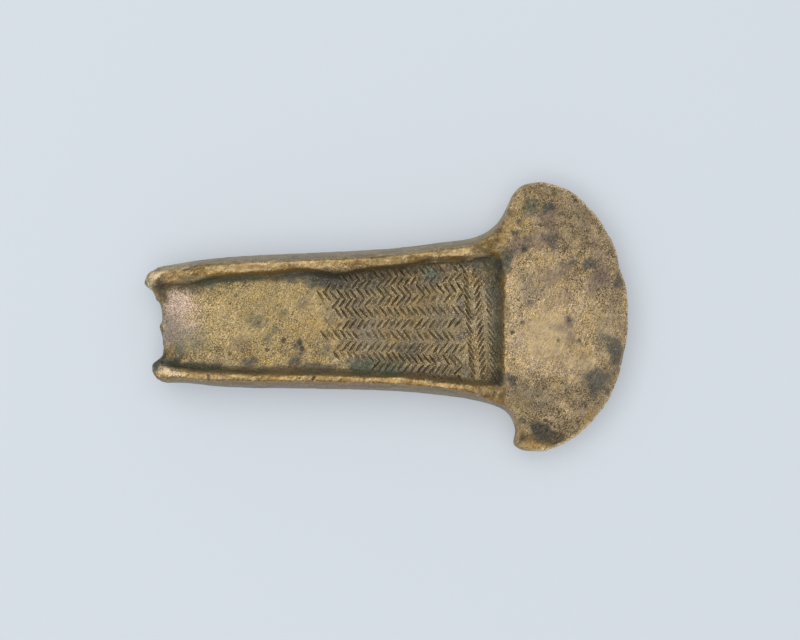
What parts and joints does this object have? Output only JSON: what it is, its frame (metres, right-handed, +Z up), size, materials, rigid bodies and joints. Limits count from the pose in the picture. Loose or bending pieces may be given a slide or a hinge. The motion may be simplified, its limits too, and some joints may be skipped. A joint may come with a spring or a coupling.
{
  "type": "flanged axe head",
  "caption": "Cast bronze axe head with high side flanges round a haft slot on both faces, a stop ledge, punched herringbone slot floors, a broken butt and a wide rounded blade.",
  "frame": {"origin": "under the middle of the axe head's bounding box, on the surface that it lies on", "axes": "+X from the butt to the cutting edge, +Y to the whole horn of the blade, +Z up, out of the face with the dense herringbone"},
  "size_m": [0.125, 0.0698, 0.02],
  "materials": {
    "bronze": "worn tin bronze with brown and green-black patina"
  },
  "bodies": {
    "root": {"axe_head": "bronze"}
  },
  "joints": []
}
